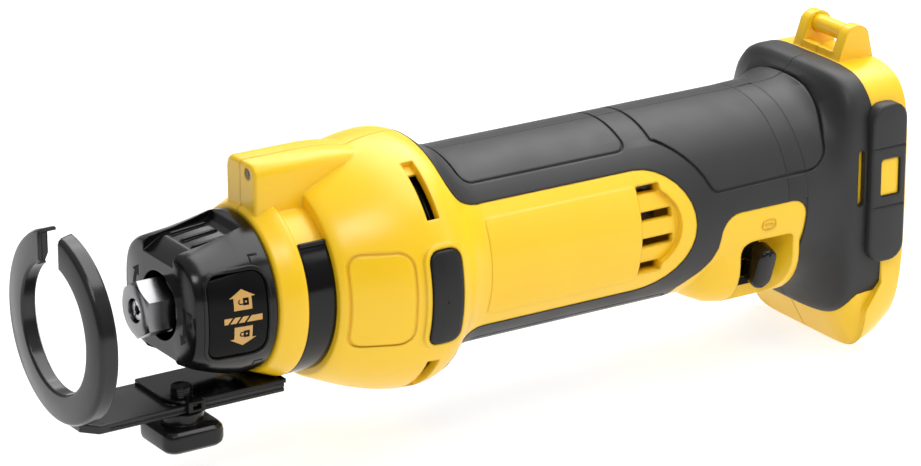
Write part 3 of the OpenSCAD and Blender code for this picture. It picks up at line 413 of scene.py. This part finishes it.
# Curved arrows around the nut on the collar's front face
def turn_arrow(mid):
    """A bent strip around an angle, with its head at the lower end."""
    inner, outer, head_at, tip_at, tail_at = 15.9, 17.4, -12, -24, 24
    head_inner, head_outer, tip = 14.6, 18.9, 16.6
    head = [polar(head_outer, mid + head_at), polar(head_inner, mid + head_at), polar(tip, mid + tip_at)]
    return [[band(0, 0, inner, outer, mid + head_at + 1, mid + tail_at)], [head]]


ARROW_HEIGHT = 0.08
mark("turn_arrows", turn_arrow(168) + turn_arrow(-10), from_front(), "bit_change_collar", "collar",
     BLACK_PRINT_AND_SHADE, ARROW_HEIGHT)

# Raised frame of the collar around each squeeze pad
PAD_ROUND = 4
FRAME_OUTER, FRAME_INNER = 1.7, 0.55
FRAME_HEIGHT = 0.35
pad_low, pad_high = (Vector(corner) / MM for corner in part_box("squeeze_pad_left"))
frame_loops = []
for gap in (FRAME_OUTER, FRAME_INNER):
    frame_loops.append(round_loop(pad_low.x - gap, pad_low.z - gap, pad_high.x + gap, pad_high.z + gap,
                                  PAD_ROUND + gap))
mark_sides("pad_frame_{}", [frame_loops], "bit_change_collar", "collar",
           MATERIALS["black_plastic"], FRAME_HEIGHT)

# Switch sign above the slide: a raised capsule with a bar
SIGN = (-225.3, -5.0)
SIGN_HEIGHT = 0.3
switch_shapes = [[capsule(*SIGN, 6.2, 2.1), capsule(*SIGN, 5.0, 1.5)], [capsule(*SIGN, 3.2, 0.45, 4)]]
mark("switch_sign", switch_shapes, from_side(1), "housing_left", "housing",
     MATERIALS["yellow_plastic"], SIGN_HEIGHT, cell=1.0)

# Painted shade on the floor of the switch pocket: a thin black layer around the slot of the slide, in one
# flat cell
POCKET_SHADE_HEIGHT = 0.05
pocket_shade_outline = [[(-218.6, -11.2), (-230.0, -11.2), (-230.0, -30.0), (-216.0, -30.0), (-216.0, -14.5)],
         box_loop(-228.5, -27.2, -217.0, -20.7)]
mark("switch_pocket_shade", [pocket_shade_outline], from_side(1), "housing_left", "housing", BLACK_PRINT_AND_SHADE,
     POCKET_SHADE_HEIGHT, cell=40)

# Lamp chip on the lens, and on each bulge pad a dark dot of painted shade where a small hole sits
CHIP, CHIP_HEIGHT = circle(4.6, 39.8, 0.8), 0.1
HOLE_SHADE, HOLE_SHADE_HEIGHT = circle(-89.2, -1.6, 0.4, n=8), 0.04
mark("lamp_chip", [[CHIP]], from_front(), "lamp_lens", "housing", MATERIALS["clear_lens"],
     CHIP_HEIGHT)
mark_sides("pad_dot_{}", [[HOLE_SHADE]], "bulge_pad_{}", "housing", BLACK_PRINT_AND_SHADE, HOLE_SHADE_HEIGHT)


# Forms around the spindle axis

def outward(degrees):
    """Direction away from the axis, at an angle from the tool's left."""
    return Vector((0, *polar(1, degrees)))


def off_axis(x, out, r):
    return Vector((x, 0, 0)) + out * r


# Turned-out lip at both ends of the bracket's band
BAND_X = (-46.0, -55.4)
BAND_END = 38.7
LIP = [(28.7, 0), (28.7, 0.9), (29.6, 1.4), (30.9, 1.4), (31.4, 1.0),
       (31.4, 0.4), (31.0, 0), (30.5, -1.2), (30.3, -1.2)]


def band_lip(name, angle, s):
    """A lip drawn as radius and height above the band's end, and run across the band."""
    out = outward(angle)
    along = Vector((0, -out.z, out.y)) * s
    bm = bmesh.new()
    rings = []
    for x in BAND_X:
        rings.append([bm.verts.new((off_axis(x, out, r) + along * h) * MM) for r, h in LIP])
    for i in range(len(LIP)):
        bm.faces.new((rings[0][i - 1], rings[0][i], rings[1][i], rings[1][i - 1]))
    for ring in rings:
        bm.faces.new(ring)
    bmesh.ops.recalc_face_normals(bm, faces=bm.faces[:])
    add_piece(name, bm, "housing", MATERIALS["black_metal"])


band_lip("band_lip_left", BAND_END, 1)
band_lip("band_lip_right", 180 - BAND_END, -1)

# Soft run-out of the rubber where the barrel meets the flare of the foot, as X and height
FLARE = [(-241.0, 0.24), (-239.0, 0.21), (-237.0, 0.13), (-235.0, 0.05), (-233.0, 0.0)]
FLARE_START = -240.7
BARREL_R = 33.6
LINE_DEPTH = 0.06
WEDGE_ROOT = 0.2
FAR_OUT = 60


def is_plain(side, out):
    """Whether the barrel is bare of pad lines along the whole run-out."""
    for x, _ in FLARE:
        start = off_axis(max(x, FLARE_START), out, FAR_OUT) * MM
        hit, point, _, _ = nodes["grip_" + side].ray_cast(start, -out)
        if not hit or abs(math.hypot(point.y, point.z) / MM - BARREL_R) > LINE_DEPTH:
            return False
    return True


def flare_blend(side, first, last):
    """A thin wedge around the barrel that fills the step before the flare and leaves pad lines open."""
    bm = bmesh.new()
    previous = None
    for angle in range(first, last + 1):
        out = outward(angle)
        if not is_plain(side, out):
            previous = None
            continue
        loop = [bm.verts.new(off_axis(x, out, BARREL_R + h) * MM) for x, h in FLARE]
        for x in (FLARE[-1][0], FLARE[0][0]):
            loop.append(bm.verts.new(off_axis(x, out, BARREL_R - WEDGE_ROOT) * MM))
        if previous:
            for i in range(len(loop)):
                bm.faces.new((previous[i - 1], previous[i], loop[i], loop[i - 1]))
        previous = loop
    bmesh.ops.delete(bm, geom=[vert for vert in bm.verts if not vert.link_faces], context="VERTS")
    bmesh.ops.holes_fill(bm, edges=bm.edges[:], sides=8)
    bmesh.ops.recalc_face_normals(bm, faces=bm.faces[:])
    piece = add_piece("flare_blend_" + side, bm, "housing", MATERIALS["dark_rubber"])
    smooth_by_angle(piece, GRIP_ANGLE)


flare_blend("left", -89, 89)
flare_blend("right", 91, 269)

# Painted shade of star sockets in the heads of the case screws: flat dark stars laid on the heads
FACING_RIGHT = -0.99
HEAD_REACH = 8
STAR_OUTER, STAR_INNER = 1.75, 1.2
STAR_HEIGHT = 0.05


def head_centres():
    """The middle of each screw head, from the faces of the screws that point right."""
    groups = []
    for polygon in nodes["case_screws"].data.polygons:
        if polygon.normal.y > FACING_RIGHT:
            continue
        points = [nodes["case_screws"].data.vertices[i].co / MM for i in polygon.vertices]
        for group in groups:
            if (group[0] - points[0]).length < HEAD_REACH:
                group.extend(points)
                break
        else:
            groups.append(points)
    for group in groups:
        xs, zs = [p.x for p in group], [p.z for p in group]
        yield (min(xs) + max(xs)) / 2, (min(zs) + max(zs)) / 2


star = [polar(STAR_OUTER if i % 2 else STAR_INNER, 30 * i) for i in range(12)]
socket_shades = [[[(x + du, z + dv) for du, dv in star]] for x, z in head_centres()]
mark("screw_socket_shade", socket_shades, from_side(-1), "case_screws", "housing", BLACK_PRINT_AND_SHADE, STAR_HEIGHT)

# Threaded end of the clamp screw
SCREW_X, SCREW_Y = -11.0, 7.6
TURNS, PITCH, FIRST_TURN = 4, 0.75, 0.5
CORE_R, CREST_R, HALF_TURN = 3.3, 3.68, 0.32


def turned_rings(name, sections, body, material, steps=36):
    """Closed rings about the clamp screw's axis, each from a section of radius and height in millimetres."""
    bm = bmesh.new()
    for section in sections:
        rings = []
        for r, z in section:
            spots = [polar(r, 360 * i / steps) for i in range(steps)]
            rings.append([bm.verts.new(Vector((SCREW_X + du, SCREW_Y + dv, z)) * MM) for du, dv in spots])
        for k in range(len(rings)):
            lower, upper = rings[k - 1], rings[k]
            for i in range(steps):
                bm.faces.new((lower[i - 1], lower[i], upper[i], upper[i - 1]))
    bmesh.ops.recalc_face_normals(bm, faces=bm.faces[:])
    add_piece(name, bm, body, material)


screw_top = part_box("clamp_screw")[1][2] / MM
thread = []
for k in range(TURNS):
    z = screw_top - FIRST_TURN - PITCH * k
    thread.append([(CORE_R, z + HALF_TURN), (CORE_R, z - HALF_TURN), (CREST_R, z)])
turned_rings("clamp_screw_thread", thread, "knob", MATERIALS["black_metal"])

# Camera that matches the photograph
AZIMUTH, ELEVATION, DISTANCE = math.radians(147.3), math.radians(19.9), 1.386
MIDDLE = Vector((-0.110, 0, 0))
SHIFT_RIGHT, SHIFT_UP = 0.01017, 0.00428
back = Vector((math.sin(AZIMUTH) * math.cos(ELEVATION), -math.cos(AZIMUTH) * math.cos(ELEVATION),
               math.sin(ELEVATION)))
right = Vector((0, 0, 1)).cross(back).normalized()
up = back.cross(right)
aim = MIDDLE + right * SHIFT_RIGHT + up * SHIFT_UP
camera = bpy.data.objects.new("camera", bpy.data.cameras.new("camera"))
camera.data.sensor_width = 36
camera.data.lens = 163.7
camera.data.clip_end = 20
turn = Matrix((right, up, back)).transposed()
camera.matrix_world = Matrix.Translation(aim + back * DISTANCE) @ turn.to_4x4()
bpy.context.collection.objects.link(camera)
bpy.context.scene.camera = camera


# Light, room and floor

CENTRE = (-0.12, 0, 0)


def area_light(name, place, size, power):
    """A soft lamp that points at the object; size in metres, power in watts."""
    light = bpy.data.lights.new(name, "AREA")
    light.shape = "RECTANGLE"
    light.size = size[0]
    light.size_y = size[1]
    light.energy = power
    obj = bpy.data.objects.new(name, light)
    obj.location = place
    obj.rotation_euler = (Vector(CENTRE) - Vector(place)).to_track_quat("-Z", "Y").to_euler()
    bpy.context.collection.objects.link(obj)


area_light("top_light", (-0.55, 0.0, 1.05), (1.3, 0.7), 12)
area_light("rim_light", (-0.85, -0.75, 1.05), (1.6, 0.6), 11)
area_light("key_light", (0.30, 0.80, 1.15), (0.45, 0.45), 6)
area_light("right_light", (-0.9, 0.9, 0.45), (0.4, 0.9), 2)

# A room that is bright above and behind the object, and dim in front of it
BRIGHT_SIDE = (-0.25, -0.39, 0.89)
DIM, BRIGHT = 0.10, 0.50
DIM_UP_TO, BRIGHT_FROM = -0.4, 0.9
world = bpy.data.worlds.new("studio")
world.use_nodes = True
bpy.context.scene.world = world
room = world.node_tree
view_dir = room.nodes.new("ShaderNodeTexCoord")
toward = room.nodes.new("ShaderNodeVectorMath")
toward.operation = "DOT_PRODUCT"
toward.inputs[1].default_value = BRIGHT_SIDE
room.links.new(view_dir.outputs["Generated"], toward.inputs[0])
room.nodes["Background"].inputs["Color"].default_value = (1, 1, 1, 1)
level = spread(room, toward.outputs["Value"], DIM, BRIGHT, DIM_UP_TO, BRIGHT_FROM)
room.links.new(level, room.nodes["Background"].inputs["Strength"])

FLOOR_HALF = 6
FLOOR_GAP = 0.5
FLOOR_TONE = (0.4, 0.4, 0.4, 1)
FLOOR_GLOW = 0.76
FLOOR_ROUGH = 0.9
WHITE = (1, 1, 1, 1)
floor_z = cad_box[0][2] - FLOOR_GAP * MM
floor_mesh = bpy.data.meshes.new("floor")
corners = [(x, y, floor_z) for x, y in box_loop(-FLOOR_HALF, -FLOOR_HALF, FLOOR_HALF, FLOOR_HALF)]
floor_mesh.from_pydata(corners, [], [(0, 1, 2, 3)])
floor = bpy.data.objects.new("floor", floor_mesh)
bpy.context.collection.objects.link(floor)
floor_mat, floor_shader = new_material("floor_white", FLOOR_ROUGH, specular=0.0)
floor_shader.inputs["Base Color"].default_value = FLOOR_TONE
floor_shader.inputs["Emission Color"].default_value = WHITE
floor_shader.inputs["Emission Strength"].default_value = FLOOR_GLOW
floor.data.materials.append(floor_mat)
floor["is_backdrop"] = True

bpy.context.scene.view_settings.view_transform = "Standard"
sizes = {"cad": cad_box, "visual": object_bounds()}
{key: [list(map(float, corner)) for corner in box] for key, box in sizes.items()}
